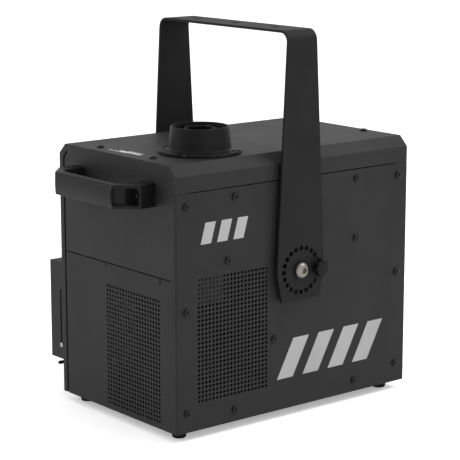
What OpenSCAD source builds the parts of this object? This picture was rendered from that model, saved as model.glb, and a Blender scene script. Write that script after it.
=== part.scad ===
// Upright fog machine: a sheet-steel casing with a folding yoke, a tapered fog
// outlet on top, two carrying handles and a fluid tank box on its left side.
// Millimetres, +Z up. The front (grille and handle) faces -Y, the wide grille side +X.
// The model is drawn about the casing's bottom centre and moved as a whole at the end.

/* [Casing] */
// Width of the casing, left to right
body_w = 260; // [250:1:270]
// Length of the casing, front to rear
body_l = 408; // [400:1:416]
// Height of the casing without its feet
body_h = 352; // [346:1:360]
// Width and height of the chamfers along the two long top edges
chamfer = 14; // [10:1:18]
// Thickness of the sheet steel
sheet = 1.5; // [1.2:0.1:2]
// Height of the seam under the top cover, on the long sides
side_seam_z = 316; // [312:1:320]
// Height of the seam between the upper and lower panels, on the ends
end_seam_z = 203; // [198:1:210]

/* [Grilles] */
// Diameter of one grille hole
grille_hole_d = 4; // [3:0.5:4.5]
// Distance between neighbouring grille holes
grille_pitch = 6; // [5.5:0.5:6]
// Holes across one grille
grille_cols = 20; // [10:1:20]
// Holes up one grille
grille_rows = 28; // [10:1:28]

/* [Yoke] */
// Distance between the outer faces of the yoke's arms
yoke_w = 278; // [276:1:282]
// Thickness of the yoke's flat bar
yoke_t = 3.5; // [3:0.5:4]
// Height of the yoke's top face above the casing's underside
yoke_top_z = 512.3; // [505:0.1:520]
// Width of the yoke's top bar
yoke_top_w = 50; // [44:1:56]
// Widest width of an arm
yoke_arm_w = 83.4; // [80:0.1:86]
// Height of the pivot above the casing's underside
pivot_z = 191.7; // [190:0.1:194]
// Number of index holes around the pivot
index_count = 20; // [12:1:20]
// Radius of the ring of index holes
index_r = 30; // [28:1:30]
// Diameter of one index hole
index_d = 7; // [6.6:0.1:7.4]

/* [Outlet] */
// Outlet axis, to the right of the casing's middle
outlet_x = 57; // [50:1:58]
// Outlet axis, in front of the casing's middle
outlet_y = -107; // [-112:1:-102]
// Diameter of the outlet's flange
flange_d = 110; // [106:1:114]
// Outer diameter of the spigot at its base
spigot_base_d = 83; // [82:1:86]
// Outer diameter of the spigot at its rim
spigot_rim_d = 77; // [74:1:80]
// Height of the rim above the casing's top
spigot_h = 35.5; // [34:0.5:40]

/* [Handles] */
// Height of a handle's lower edge above the casing's underside
handle_z = 295.3; // [290:0.1:300]
// Height of a handle
handle_h = 30.8; // [28:0.1:32]
// How far a handle stands out from its panel
handle_d = 52.5; // [50:0.5:54]

/* [Feet] */
// Height of a rubber foot
foot_h = 12.5; // [10:0.5:14]
// Diameter of a rubber foot
foot_d = 20; // [18:1:22]

/* [Tank box] */
// How far the tank box stands out from the left side
box_out = 50; // [46:1:50]
// Height of the tank box's underside above the casing's underside
box_z = 38; // [36:1:42]
// Height of the tank box
box_h = 140; // [130:1:144]
// Length of the tank box
box_l = 122; // [112:1:126]
// How far the tank box is set back from the casing's front
box_back = 14; // [12:0.5:16]

/* [Hidden] */

half_w = body_w / 2;
half_l = body_l / 2;
in_w = half_w - sheet;
in_l = half_l - sheet;
gap = 0.4;
seam = 1.4;
eps = 0.01;
cut = 50;

// The whole model's box is centred left to right, because the tank box sticks out.
knob_face_x = yoke_w / 2 + 13;
frame_x = (half_w + box_out - knob_face_x) / 2;

steel_black = [0.20, 0.20, 0.20];
black = [0.10, 0.10, 0.10];
plastic = [0.16, 0.16, 0.17];
zinc = [0.70, 0.70, 0.68];
print_grey = [0.66, 0.66, 0.66];
blank_white = [0.85, 0.87, 0.88];
brass = [0.75, 0.60, 0.30];

// ---- helpers -------------------------------------------------------------

module placed() {
    translate([frame_x, 0, foot_h]) children();
}

// A box given by its low and high corners.
module span(low, high) {
    translate(low) cube(high - low);
}

// A cylinder along X from x0 to x1.
module rod_x(x0, x1, r, y = 0, z = 0) {
    translate([x0, y, z]) rotate([0, 90, 0]) cylinder(h = x1 - x0, r = r, $fn = 48);
}

// A cylinder along Y from y0 to y1.
module rod_y(y0, y1, r, x = 0, z = 0) {
    translate([x, y1, z]) rotate([90, 0, 0]) cylinder(h = y1 - y0, r = r, $fn = 48);
}

module rod_z(z0, z1, r, x = 0, y = 0) {
    translate([x, y, z0]) cylinder(h = z1 - z0, r = r, $fn = 48);
}

// A flat drawing given in Y and Z, made into a plate between x0 and x1.
module plate_yz(x0, x1) {
    translate([x0, 0, 0]) rotate([90, 0, 90]) linear_extrude(x1 - x0) children();
}

// A flat drawing given in X and Z, made into a plate between y0 and y1.
module plate_xz(y0, y1) {
    translate([0, y1, 0]) rotate([90, 0, 0]) linear_extrude(y1 - y0) children();
}

module rounded_square(w, h, r) {
    square([w - 2 * r, h], center = true);
    square([w, h - 2 * r], center = true);
    for (sx = [-1, 1], sy = [-1, 1])
        translate([sx * (w / 2 - r), sy * (h / 2 - r)]) circle(r, $fn = 32);
}

module grille_holes() {
    for (col = [0 : grille_cols - 1], row = [0 : grille_rows - 1])
        translate([col * grille_pitch, row * grille_pitch])
            circle(d = grille_hole_d, $fn = 24);
}

// A pan-head machine screw along +X with its head's underside at x = 0.
module pan_screw(head_d = 11, head_h = 3.2, shank_d = 5, shank_l = 8) {
    difference() {
        union() {
            rotate([0, 90, 0]) cylinder(h = head_h * 0.55, d = head_d, $fn = 40);
            translate([head_h * 0.55, 0, 0]) rotate([0, 90, 0])
                cylinder(h = head_h * 0.45, d1 = head_d, d2 = head_d * 0.6, $fn = 40);
            translate([-shank_l, 0, 0]) rotate([0, 90, 0])
                cylinder(h = shank_l + 0.5, d = shank_d, $fn = 32);
        }
        translate([head_h * 0.45, -0.6, -head_d * 0.26])
            cube([head_h, 1.2, head_d * 0.52]);
        translate([head_h * 0.45, -head_d * 0.26, -0.6])
            cube([head_h, head_d * 0.52, 1.2]);
    }
}

module screw_at(p, turn = [0, 0, 0], head_d = 11, head_h = 3.2, shank_l = 8) {
    translate(p) rotate(turn)
        pan_screw(head_d = head_d, head_h = head_h, shank_l = shank_l);
}

// ---- casing --------------------------------------------------------------

// Screws on each long side: distance to the rear, height.
side_screws = [[-187, 299], [-107, 303], [108, 303], [187, 299], [-119, 220], [108, 220],
    [-187, 161], [187, 161], [-39, 101], [-187, 26], [187, 27], [-107, 16], [108, 16]];
left_screws = [[-187, 299], [-107, 303], [108, 303], [187, 299], [108, 220],
    [187, 161], [187, 27], [108, 16], [-187, 220]];
top_screws = [[-60, -184], [57, -184], [-60, 192], [54, 192]];
foot_spots = [[-105, -181], [105, -181], [-105, 181], [105, 181]];
screw_hole_d = 5.4;
rim = 9;
rim_gap = 3.4;
base_flange = 22;
rail_z = 292;
rail_h = 20;
post = 20;
post_top = 334.5;

module chassis_base() {
    color(steel_black) difference() {
        union() {
            span([-in_w + gap, -in_l + gap, 0], [in_w - gap, in_l - gap, sheet]);
            for (s = [-1, 1]) {
                span([s > 0 ? in_w - gap - sheet : -in_w + gap, -in_l + gap, 0],
                    [s > 0 ? in_w - gap : -in_w + gap + sheet, in_l - gap, base_flange]);
                span([-in_w + gap, s > 0 ? in_l - gap - sheet : -in_l + gap, 0],
                    [in_w - gap, s > 0 ? in_l - gap : -in_l + gap + sheet, 8]);
            }
        }
        for (p = foot_spots) rod_z(-1, sheet + 1, 2.6, p[0], p[1]);
        for (p = [[-107, 16], [108, 16]]) rod_x(-cut * 4, cut * 4, screw_hole_d / 2, p[0], p[1]);
    }
}

module corner_post(sx, sy) {
    x0 = sx > 0 ? in_w - gap - sheet - post : -in_w + gap + sheet;
    y0 = sy > 0 ? in_l - gap - sheet - post : -in_l + gap + sheet;
    xw = sx > 0 ? x0 + post - sheet : x0;
    yw = sy > 0 ? y0 + post - sheet : y0;
    span([x0, yw, sheet], [x0 + post, yw + sheet, post_top]);
    span([xw, y0, sheet], [xw + sheet, y0 + post, post_top]);
}

// Z-shaped strip along one end that the top cover's screws go into.
module top_bracket(s, ry) {
    top = body_h - sheet - gap;
    web_y = ry - 26;
    mirror([0, s > 0 ? 0 : 1, 0]) {
        span([-100, web_y, 333], [100, ry - 1, 335]);
        span([-100.5, web_y - 0.5, 333.5], [100.5, web_y + 1.5, top]);
        span([-100, web_y, top - 1.8], [100, ry - 7, top - 0.2]);
    }
}

module inner_frame() {
    rx = in_w - gap - sheet;
    ry = in_l - gap - sheet;
    color(zinc) difference() {
        union() {
            for (sx = [-1, 1], sy = [-1, 1]) corner_post(sx, sy);
            for (s = [-1, 1]) {
                span([s > 0 ? rx - 2.5 : -rx, -ry + 1, rail_z],
                    [s > 0 ? rx : -rx + 2.5, ry - 1, rail_z + rail_h]);
                span([-rx + 1, s > 0 ? ry - 2.5 : -ry, 322],
                    [rx - 1, s > 0 ? ry : -ry + 2.5, 336]);
                top_bracket(s, ry);
            }
        }
        for (p = side_screws) rod_x(in_w - post - 4, in_w, 2.6, p[0], p[1]);
        for (p = left_screws) rod_x(-in_w, -in_w + post + 4, 2.6, p[0], p[1]);
        for (p = top_screws) rod_z(body_h - 20, body_h, 2.6, p[0], p[1]);
    }
}

module right_plate_outline() {
    difference() {
        translate([-half_l + 2.5, 0]) square([body_l - 2.5, side_seam_z - gap / 2]);
        translate([-181, side_seam_z - seam / 2]) square([362, seam]);
        translate([-167, 38.7]) grille_holes();
        for (p = side_screws) translate(p) circle(d = screw_hole_d, $fn = 32);
        translate([0, pivot_z]) circle(d = 12.4, $fn = 48);
    }
}

module front_plate_outline() {
    difference() {
        translate([-half_w + rim + rim_gap, 0])
            square([body_w - rim - rim_gap - 2.5, end_seam_z - gap / 2]);
        translate([-118, end_seam_z - seam / 2]) square([237, seam]);
        translate([-20.4, 9.8]) grille_holes();
        for (x = [-23.6, 96.6]) {
            translate([x - 1, end_seam_z - 8.5]) square([2, 8]);
            translate([x - 0.75, -1]) square([1.5, 6]);
        }
    }
}

module side_front_shell() {
    r = 2.5;
    color(steel_black) {
        plate_yz(in_w, half_w) right_plate_outline();
        plate_xz(-half_l, -in_l) front_plate_outline();
        translate([half_w - r, -half_l + r, 0]) intersection() {
            difference() {
                cylinder(r = r, h = side_seam_z - gap / 2, $fn = 48);
                translate([0, 0, -1]) cylinder(r = r - sheet, h = body_h, $fn = 48);
            }
            translate([0, -r, 0]) cube([r, r, body_h]);
        }
    }
}

// End profile of the left panel: the strip between the outer edge and its inner edge.
module left_rim_outline() {
    k = rim * (sqrt(2) - 1);
    polygon([[-half_w, 0], [-half_w + rim, 0], [-half_w + rim, body_h - chamfer - k],
        [-half_w + chamfer + k, body_h - rim], [-half_w + chamfer + k, body_h],
        [-half_w + chamfer, body_h], [-half_w, body_h - chamfer]]);
}

module left_skin_outline() {
    k = sheet * (sqrt(2) - 1);
    end_x = -half_w + chamfer + rim * (sqrt(2) - 1);
    polygon([[-half_w, 0], [-in_w, 0], [-in_w, body_h - chamfer - k],
        [-half_w + chamfer + k, body_h - sheet], [end_x, body_h - sheet], [end_x, body_h],
        [-half_w + chamfer, body_h], [-half_w, body_h - chamfer]]);
}

module left_side_panel() {
    color(steel_black) difference() {
        union() {
            plate_xz(-half_l, half_l) left_skin_outline();
            plate_xz(-half_l, -in_l) left_rim_outline();
            plate_xz(in_l, half_l) left_rim_outline();
        }
        for (p = left_screws) rod_x(-half_w - 1, -in_w + 1, screw_hole_d / 2, p[0], p[1]);
        rod_x(-half_w - 1, -in_w + 1, 6.2, 0, pivot_z);
        span([-half_w - 1, tank_y0 - 2, box_z + 8], [-in_w + 1, box_y1 - 12, box_top - 6]);
    }
}

// End profile of the top cover on the right: chamfer and the strip below it.
module cover_skin_outline() {
    k = sheet * (sqrt(2) - 1);
    start_x = -half_w + chamfer + rim * (sqrt(2) - 1) + gap;
    polygon([[start_x, body_h], [half_w - chamfer, body_h], [half_w, body_h - chamfer],
        [half_w, side_seam_z + gap / 2], [in_w, side_seam_z + gap / 2],
        [in_w, body_h - chamfer - k], [half_w - chamfer - k, body_h - sheet],
        [start_x, body_h - sheet]]);
}

module cover_end_outline() {
    k = rim * (sqrt(2) - 1);
    start_x = -half_w + chamfer + k + gap;
    low_z = end_seam_z + gap / 2;
    difference() {
        polygon([[-half_w + rim + rim_gap, low_z],
            [-half_w + rim + rim_gap, body_h - chamfer - k - 1.4],
            [start_x + 3, body_h - rim], [start_x, body_h - rim], [start_x, body_h],
            [half_w - chamfer, body_h], [half_w, body_h - chamfer],
            [half_w, side_seam_z + gap / 2], [half_w - 2.5 - gap, side_seam_z + gap / 2],
            [half_w - 2.5 - gap, low_z]]);
        translate([-118, end_seam_z - seam / 2]) square([237, seam]);
    }
}

module top_cover() {
    color(steel_black) difference() {
        union() {
            plate_xz(-half_l, half_l) cover_skin_outline();
            plate_xz(-half_l, -in_l) cover_end_outline();
            plate_xz(in_l, half_l) cover_end_outline();
        }
        span([in_w - 1, -181, side_seam_z - seam], [half_w + 1, 181, side_seam_z + seam / 2]);
        for (p = top_screws) rod_z(body_h - cut / 5, body_h + 1, screw_hole_d / 2, p[0], p[1]);
        rod_z(body_h - cut / 5, body_h + 1, 39, outlet_x, outlet_y);
        for (a = outlet_screw_turns) rod_z(body_h - cut / 5, body_h + 1, 2.6,
            outlet_x + bolt_circle * cos(a), outlet_y + bolt_circle * sin(a));
        for (sx = [-1, 1], sy = [-1, 1])
            rod_y(sy > 0 ? in_l - 1 : -half_l - 1, sy > 0 ? half_l + 1 : -in_l + 1, 2.6,
                sx * handle_screw_x, handle_mid_z);
        for (y = [-in_l - 1, in_l - 4]) span([half_w - 2, y, 0], [half_w + 1, y + 5, side_seam_z]);
    }
}

// ---- rear panel and what is fitted in it ---------------------------------

display_z = 166;
display_x = -50;
switch_x = 62;
switch_z = 100;
inlet_x = 62;
inlet_z = 52;
signal_z = 52;
fuse_x = 98;
button_xs = [-8, 10, 28, 46];

module rear_panel() {
    color(steel_black) difference() {
        plate_xz(in_l, half_l) difference() {
            translate([-half_w + rim + rim_gap, 0])
                square([body_w - rim - rim_gap - sheet - gap, end_seam_z - gap / 2]);
            translate([-118, end_seam_z - seam / 2]) square([237, seam]);
            translate([display_x, display_z]) square([52, 26], center = true);
            for (x = button_xs) translate([x, display_z]) circle(d = 11, $fn = 32);
            translate([switch_x, switch_z]) square([20.4, 26.4], center = true);
            translate([inlet_x, inlet_z]) square([28, 20.4], center = true);
            for (x = [-70, -30]) translate([x, signal_z]) circle(d = 24.4, $fn = 48);
            translate([fuse_x, inlet_z]) circle(d = 13.4, $fn = 32);
            for (col = [0 : 13]) translate([-92 + col * 14, 128]) square([8, 3]);
        }
    }
}

module display_module() {
    color(black) difference() {
        union() {
            translate([display_x, half_l + 0.8, display_z]) rotate([90, 0, 0])
                linear_extrude(1.6, center = true) rounded_square(60, 34, 3);
            span([display_x - 25.5, in_l - 9, display_z - 12.5],
                [display_x + 25.5, half_l + 0.5, display_z + 12.5]);
        }
        span([display_x - 23, half_l + 0.9, display_z - 9], [display_x + 23, half_l + 3, display_z + 9]);
    }
}

// A bezel with four guide holes, and the switch board behind it.
module menu_buttons_frame() {
    color(black) difference() {
        union() {
            translate([19, half_l + 0.8, display_z]) rotate([90, 0, 0])
                linear_extrude(1.6, center = true) rounded_square(76, 34, 3);
            for (x = button_xs) rod_y(in_l - 7, half_l + 0.5, 5.3, x, display_z);
            span([-16, in_l - 9, display_z - 10], [54, in_l - 6.5, display_z + 10]);
        }
        for (x = button_xs) rod_y(in_l - 6, half_l + 2, 4.05, x, display_z);
    }
}

module menu_button(index) {
    x = button_xs[index];
    color([0.5, 0.5, 0.5]) {
        rod_y(in_l - 3.5, half_l + 4, 4, x, display_z);
    }
}

module power_switch() {
    color(black) difference() {
        union() {
            translate([switch_x, half_l + 1, switch_z]) cube([24, 2, 30], center = true);
            span([switch_x - 10, in_l - 15, switch_z - 13], [switch_x + 10, half_l + 0.5, switch_z + 13]);
        }
        span([switch_x - 7.5, in_l - 9, switch_z - 11.7], [switch_x + 7.5, half_l + 3, switch_z + 11.7]);
        rod_x(switch_x - 9, switch_x + 9, 1.55, half_l - 2.5, switch_z);
    }
}

module switch_rocker() {
    pin_y = half_l - 2.5;
    color([0.55, 0.08, 0.07]) {
        intersection() {
            translate([switch_x - 7, 0, 0]) plate_yz(0, 14)
                polygon([[pin_y - 3, switch_z - 5], [pin_y - 3, switch_z + 5],
                    [pin_y + 6.8, switch_z + 9.3], [pin_y + 4.2, switch_z],
                    [pin_y + 4.4, switch_z - 9.3]]);
            rod_x(switch_x - 7, switch_x + 7, 11.5, pin_y, switch_z);
        }
        rod_x(switch_x - 8.5, switch_x + 8.5, 1.5, pin_y, switch_z);
    }
}

module power_inlet() {
    color(black) {
        difference() {
            union() {
                translate([inlet_x, half_l + 1, inlet_z]) rotate([90, 0, 0])
                    linear_extrude(2, center = true) rounded_square(48, 26, 4);
                span([inlet_x - 13.8, in_l - 17, inlet_z - 10],
                    [inlet_x + 13.8, half_l + 0.5, inlet_z + 10]);
            }
            span([inlet_x - 12, in_l - 14, inlet_z - 8], [inlet_x + 12, half_l + 3, inlet_z + 8]);
            for (s = [-1, 1]) rod_y(half_l - 1, half_l + 3, 1.7, inlet_x + s * 20, inlet_z);
        }
    }
    color(zinc) for (p = [[-7, -2.5], [0, 2.5], [7, -2.5]])
        span([inlet_x + p[0] - 1, in_l - 15, inlet_z + p[1] - 2],
            [inlet_x + p[0] + 1, half_l - 2, inlet_z + p[1] + 2]);
}

// Two round panel sockets for the control cable, in and out.
module signal_sockets() {
    for (x = [-70, -30]) {
        color(black) difference() {
            union() {
                translate([x, half_l + 1, signal_z]) cube([26, 2, 31], center = true);
                rod_y(in_l - 16, half_l + 0.5, 12, x, signal_z);
            }
            if (x == -70) rod_y(in_l - 13, half_l + 3, 9.5, x, signal_z);
            if (x == -30) for (a = [0 : 72 : 288])
                rod_y(half_l - 10, half_l + 3, 1.2, x + 5 * cos(a), signal_z + 5 * sin(a));
            for (s = [-1, 1]) rod_y(half_l - 1, half_l + 3, 1.6, x - s * 9.5, signal_z + s * 12);
        }
        if (x == -70) color(zinc) for (a = [0 : 72 : 288])
            rod_y(in_l - 14, half_l - 3, 1, x + 5 * cos(a), signal_z + 5 * sin(a));
    }
}

module fuse_holder() {
    color(black) {
        rod_y(in_l - 26, half_l + 0.5, 6.5, fuse_x, inlet_z);
        rod_y(half_l, half_l + 2, 8.5, fuse_x, inlet_z);
        difference() {
            rod_y(half_l + 1, half_l + 9, 6.2, fuse_x, inlet_z);
            span([fuse_x - 5, half_l + 8, inlet_z - 0.8], [fuse_x + 5, half_l + 10, inlet_z + 0.8]);
        }
    }
}

// ---- handles, screws and feet --------------------------------------------

handle_mid_z = handle_z + handle_h / 2;
handle_screw_x = 78.5;
handle_wall = 3.4;
handle_crown_r = 55;

// Plan of half a handle, outside and inside, from the grip back to the panel (y = 0).
handle_outer = [[63, -handle_d], [91.5, -25.5], [88, 0]];
handle_inner = [[58, -40.5], [68, -31], [68, 1]];
handle_well_y = -22;
handle_pocket = [[68.4, -55.6], [94.3, -31.1], [90.1, -26.8], [87.6, -24], [87.4, handle_well_y],
    [72, handle_well_y], [73.6, -25.9], [78.4, -31], [60.9, -47.6]];

function both_halves(half) =
    concat(half, [for (k = [len(half) - 1 : -1 : 0]) [-half[k][0], half[k][1]]]);

module handle() {
    difference() {
        intersection() {
            linear_extrude(handle_h) difference() {
                polygon(both_halves(handle_outer));
                polygon(both_halves(handle_inner));
            }
            translate([-100, handle_crown_r - handle_d, handle_h / 2]) rotate([0, 90, 0])
                cylinder(r = handle_crown_r, h = 200, $fn = 160);
        }
        for (s = [0, 1]) mirror([s, 0, 0]) {
            translate([0, 0, handle_wall])
                linear_extrude(handle_h - 2 * handle_wall) polygon(handle_pocket);
            rod_y(handle_well_y - 1, 1, 2.7, handle_screw_x, handle_h / 2);
        }
    }
}

module front_handle() {
    color(plastic) translate([0, -half_l, handle_z]) handle();
}

module rear_handle() {
    color(plastic) translate([0, half_l, handle_z]) rotate([0, 0, 180]) handle();
}

module handle_screws() {
    color(black) for (sx = [-1, 1], sy = [-1, 1])
        screw_at([sx * handle_screw_x, sy * (half_l - handle_well_y), handle_mid_z], [0, 0, sy * 90],
            head_d = 9, head_h = 3, shank_l = 30);
}

module case_screws() {
    color(black) {
        for (p = side_screws) screw_at([half_w, p[0], p[1]]);
        for (p = left_screws) screw_at([-half_w, p[0], p[1]], [0, 0, 180]);
        for (p = top_screws) screw_at([p[0], p[1], body_h], [0, -90, 0]);
    }
}

module rubber_feet() {
    color(black) for (p = foot_spots) translate([p[0], p[1], 0]) difference() {
        rotate_extrude($fn = 64) polygon([[0, -foot_h], [foot_d / 2 - 2.4, -foot_h],
            [foot_d / 2 - 0.9, -foot_h + 1.2], [foot_d / 2 - 0.4, -foot_h + 3],
            [foot_d / 2, 0], [0, 0]]);
        translate([0, 0, -foot_h - 1]) cylinder(h = 7, d = 10, $fn = 32);
        translate([0, 0, -foot_h - 1]) cylinder(h = foot_h + 2, d = 5.2, $fn = 32);
    }
}

module foot_screws() {
    color(zinc) for (p = foot_spots)
        screw_at([p[0], p[1], -foot_h + 6], [0, 90, 0], head_d = 8.5, head_h = 3, shank_l = 12);
}

// ---- outlet --------------------------------------------------------------

guard_z = spigot_h - 6;
spigot_wall = 2.6;
guard_ring_r = 20.5;
bolt_circle = 51;
outlet_screw_turns = [29, 119, 209, 299];

module outlet_spigot() {
    h = spigot_h;
    rb = spigot_base_d / 2;
    rr = spigot_rim_d / 2;
    color(black) translate([outlet_x, outlet_y, body_h]) difference() {
        rotate_extrude($fn = 128) polygon([[38.6, -12], [38.6, 0],
            [flange_d / 2, 0], [flange_d / 2, 3.8], [flange_d / 2 - 0.8, 4.6],
            [rb + 1.4, 5], [rb, 6.4], [rr, h - 1], [rr - 0.4, h - 0.3],
            [rr - 1, h], [rr - 2, h], [rr - spigot_wall, h - 0.8], [rr - spigot_wall, guard_z],
            [rr - spigot_wall - 1.6, guard_z], [rr - spigot_wall - 1.6, -12]]);
        for (a = outlet_screw_turns) translate([bolt_circle * cos(a), bolt_circle * sin(a), -1]) {
            cylinder(h = 12, d = 5.2, $fn = 32);
            translate([0, 0, 3.2]) cylinder(h = 12, d = 13.5, $fn = 40);
        }
    }
}

module outlet_guard() {
    r = spigot_rim_d / 2 - spigot_wall - 0.15;
    color(black) translate([outlet_x, outlet_y, body_h + guard_z]) {
        difference() {
            cylinder(r = r, h = 3, $fn = 96);
            translate([0, 0, -1]) cylinder(r = r - 2, h = 5, $fn = 96);
        }
        difference() {
            cylinder(r = guard_ring_r, h = 3, $fn = 64);
            translate([0, 0, -1]) cylinder(r = guard_ring_r - 2.2, h = 5, $fn = 64);
        }
        for (a = [58 : 60 : 358]) rotate([0, 0, a])
            translate([guard_ring_r - 1.2, -1.1, 0.4]) cube([r - guard_ring_r + 0.2, 2.2, 2.2]);
    }
}

module outlet_screws() {
    color(black) for (a = outlet_screw_turns)
        screw_at([outlet_x + bolt_circle * cos(a), outlet_y + bolt_circle * sin(a), body_h + 2.2],
            [0, -90, 0], head_d = 8.2, head_h = 2.6, shank_l = 9);
}

// ---- yoke, pivots and lock knobs -----------------------------------------

yoke_out = yoke_w / 2;
yoke_in = yoke_out - yoke_t;
yoke_bend = 15;
hinge_r = 8;
hinge_clearance = 0.05;

module yoke_profile(out, top, bend) {
    difference() {
        union() {
            translate([-out, 0]) square([2 * out, top - bend]);
            translate([-out + bend, 0]) square([2 * (out - bend), top]);
            for (s = [-1, 1]) translate([s * (out - bend), top - bend]) circle(bend, $fn = 96);
        }
    }
}

module yoke_side() {
    top = yoke_top_w / 2;
    wide = yoke_arm_w / 2;
    polygon([[-33, 151], [33, 151], [wide, 190], [top, yoke_top_z - 14], [top, yoke_top_z + 1],
        [-top, yoke_top_z + 1], [-top, yoke_top_z - 14], [-wide, 190]]);
}

module yoke() {
    color(steel_black) difference() {
        intersection() {
            plate_xz(-60, 60) difference() {
                yoke_profile(yoke_out, yoke_top_z, yoke_bend);
                yoke_profile(yoke_in, yoke_top_z - yoke_t, yoke_bend - yoke_t);
            }
            plate_yz(-yoke_out - 1, yoke_out + 1) yoke_side();
        }
        rod_x(-yoke_out - 1, yoke_out + 1, hinge_r + hinge_clearance, 0, pivot_z);
        for (k = [0 : index_count - 1])
            rod_x(-yoke_out - 1, yoke_out + 1, index_d / 2,
                index_r * cos(k * 360 / index_count), pivot_z + index_r * sin(k * 360 / index_count));
        rod_z(yoke_top_z - 10, yoke_top_z + 1, 6.5);
        for (s = [-1, 1]) rod_z(yoke_top_z - 10, yoke_top_z + 1, 5.5, s * 84);
    }
}

module on_both_sides() {
    children();
    mirror([1, 0, 0]) children();
}

module pivot_plates() {
    color(zinc) on_both_sides() translate([0, 0, pivot_z]) difference() {
        union() {
            span([in_w - gap - 4, -45, -30], [in_w - gap, 45, 30]);
            rod_x(in_w - 14, in_w - gap - 3, 11);
            for (s = [-1, 1])
                span([in_w - 18, s * 42 - 1.5, -30], [in_w - gap - 3, s * 42 + 1.5, 30]);
        }
        rod_x(in_w - 16, in_w, 5.1);
    }
}

module pivot_bushes() {
    color(black) on_both_sides() translate([0, 0, pivot_z]) difference() {
        union() {
            rod_x(half_w, yoke_in - 0.1, 16);
            rod_x(yoke_in - 0.5, yoke_out + 0.1, hinge_r);
        }
        rod_x(half_w - 1, yoke_out + 2, 6.1);
    }
}

module pivot_washers() {
    color(black) on_both_sides() translate([0, 0, pivot_z]) difference() {
        rod_x(yoke_out + 0.1, yoke_out + 1.6, 13);
        rod_x(yoke_out - 1, yoke_out + 3, 6.1);
    }
}

module pivot_bolts() {
    head = 5.2;
    x0 = yoke_out + 1.6;
    color(zinc) on_both_sides() translate([0, 0, pivot_z]) difference() {
        union() {
            translate([x0, 0, 0]) rotate([0, 90, 0]) rotate_extrude($fn = 64)
                polygon([[0, 0], [10.65, 0], [10.5, 1], [9.6, 2.7], [7.8, 4.2], [5.6, head], [0, head]]);
            rod_x(in_w - 13.5, x0 + 0.5, 5);
        }
        translate([x0 + head - 4, 0, 0]) rotate([0, 90, 0]) cylinder(h = 6, d = 9.2, $fn = 6);
    }
}

knob_d = 23.5;
knob_lobes = 8;
knob_base_x = yoke_out + 1;

module lock_knob() {
    color(black) translate([knob_base_x, index_r, pivot_z]) difference() {
        union() {
            rod_x(0, 4.5, 8.5);
            translate([2.5, 0, 0]) rotate([0, 90, 0]) cylinder(h = 7, d = knob_d - 1.5, $fn = 64);
            translate([9.5, 0, 0]) rotate([0, 90, 0])
                cylinder(h = 2.5, d1 = knob_d - 1.5, d2 = knob_d - 7, $fn = 64);
        }
        for (k = [0 : knob_lobes - 1]) rotate([k * 360 / knob_lobes, 0, 0])
            rod_x(4.5, 14, 2.4, knob_d / 2 + 0.7, 0);
        rod_x(-1, 7.5, 2.95);
    }
}

module lock_stud() {
    color(zinc) rod_x(half_w + 0.5, knob_base_x + 7, 2.9, index_r, pivot_z);
}

module right_lock_knob() {
    lock_knob();
}

module right_lock_stud() {
    lock_stud();
}

module left_lock_knob() {
    mirror([1, 0, 0]) lock_knob();
}

module left_lock_stud() {
    mirror([1, 0, 0]) lock_stud();
}

// ---- fluid tank ----------------------------------------------------------

box_x = -half_w - box_out;
box_top = box_z + box_h;
box_y0 = -half_l + box_back;
box_y1 = box_y0 + box_l;
slot_x = -half_w - 24.5;
neck_x = -half_w - 26;
neck_y = -118;
tap_x = -half_w - 34;
tap_y = -185;
pin_x = slot_x + 1;
pin_z = box_z + 20.5;
// Where the tank passes through the left panel, and how deep it reaches inside.
tank_y0 = -176;
tank_x1 = -62;

module tank_box() {
    t = 2;
    color(steel_black) difference() {
        union() {
            span([box_x, box_y0, box_z], [-half_w, box_y1, box_top]);
        }
        span([box_x + t, box_y0 + t, box_z + t], [-half_w + 1, box_y1 - t, box_top - t]);
        span([slot_x - 1.75, box_y0 - 1, box_z + 25.5], [slot_x + 1.75, box_y0 + t + 1, box_z + 101]);
        rod_z(box_top - t - 1, box_top + 1, 17.5, neck_x, neck_y);
        rod_z(box_z - 1, box_z + t + 1, 4.2, tap_x, tap_y + 14);
        rod_y(box_y0 - 1, box_y0 + t + 1, 2.6, pin_x, pin_z);
    }
}

// Blow-moulded tank: a deep part inside the casing and a shallower part in the box.
module tank_form(inset, low_z, high_z) {
    span([box_x + 4 + inset, box_y0 + 4 + inset, low_z], [-half_w - 2 - inset, box_y1 - 14 - inset, high_z]);
    span([-half_w - 8, tank_y0 + inset, low_z], [tank_x1 - inset, box_y1 - 14 - inset, high_z]);
}

module fluid_tank() {
    t = 2;
    low_z = box_z + 10;
    high_z = box_top - 8;
    color(blank_white) difference() {
        union() {
            tank_form(0, low_z, high_z);
            rod_z(high_z - 1, box_top + 4, 16, neck_x, neck_y);
        }
        tank_form(t, low_z + t, high_z - t);
        rod_z(box_top - 20, box_top + 6, 14, neck_x, neck_y);
        rod_z(box_z + 5, box_z + 20, 4.05, tap_x, tap_y + 14);
        rod_y(box_y1 - 18, box_y1 - 10, 3.2, -80, box_z + 20);
    }
}

// A threaded collar that the filler cap turns on.
module filler_neck() {
    color(black) translate([neck_x, neck_y, box_top]) difference() {
        union() {
            cylinder(h = 2, r = 22, $fn = 64);
            cylinder(h = 9, r = 18.5, $fn = 64);
        }
        translate([0, 0, -1]) cylinder(h = 12, r = 16.4, $fn = 64);
    }
}

module filler_cap() {
    color(black) translate([neck_x, neck_y, box_top + 2.4]) difference() {
        union() {
            cylinder(h = 11, r = 21, $fn = 64);
            translate([0, 0, 10.5]) intersection() {
                cylinder(h = 6, r = 19, $fn = 64);
                translate([-20, -3, 0]) cube([40, 6, 6]);
            }
        }
        translate([0, 0, -1]) cylinder(h = 9.2, r = 18.56, $fn = 64);
        for (k = [0 : 11]) rotate([0, 0, k * 30 + 15]) translate([22.4, 0, -1])
            cylinder(h = 14, r = 2.4, $fn = 24);
    }
}

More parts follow.
